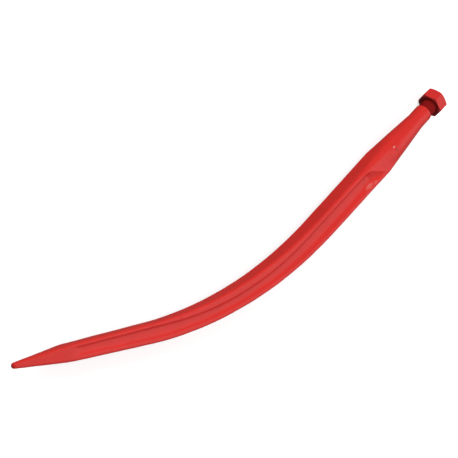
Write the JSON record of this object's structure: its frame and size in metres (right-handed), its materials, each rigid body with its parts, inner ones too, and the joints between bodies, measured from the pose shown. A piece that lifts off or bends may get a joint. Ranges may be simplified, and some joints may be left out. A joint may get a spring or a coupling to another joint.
{
  "type": "curved bale spear with retaining nut",
  "caption": "Long curved forged bale spear with a drawn point, a fuller in each side and a turned cone root with a threaded end and hexagon nut.",
  "frame": {"origin": "centre of the large end of the seating cone, on the shank's axis", "axes": "+X along the shank from the nut towards the blade, the blade curves towards -Y, +Z square to the plane of the curve and up as the spear lies on its side"},
  "size_m": [1.0501, 0.2647, 0.044],
  "materials": {
    "red_paint": "satin",
    "nut_paint": "satin"
  },
  "bodies": {
    "root": {"spear": "red_paint", "nut": "nut_paint"}
  },
  "joints": []
}
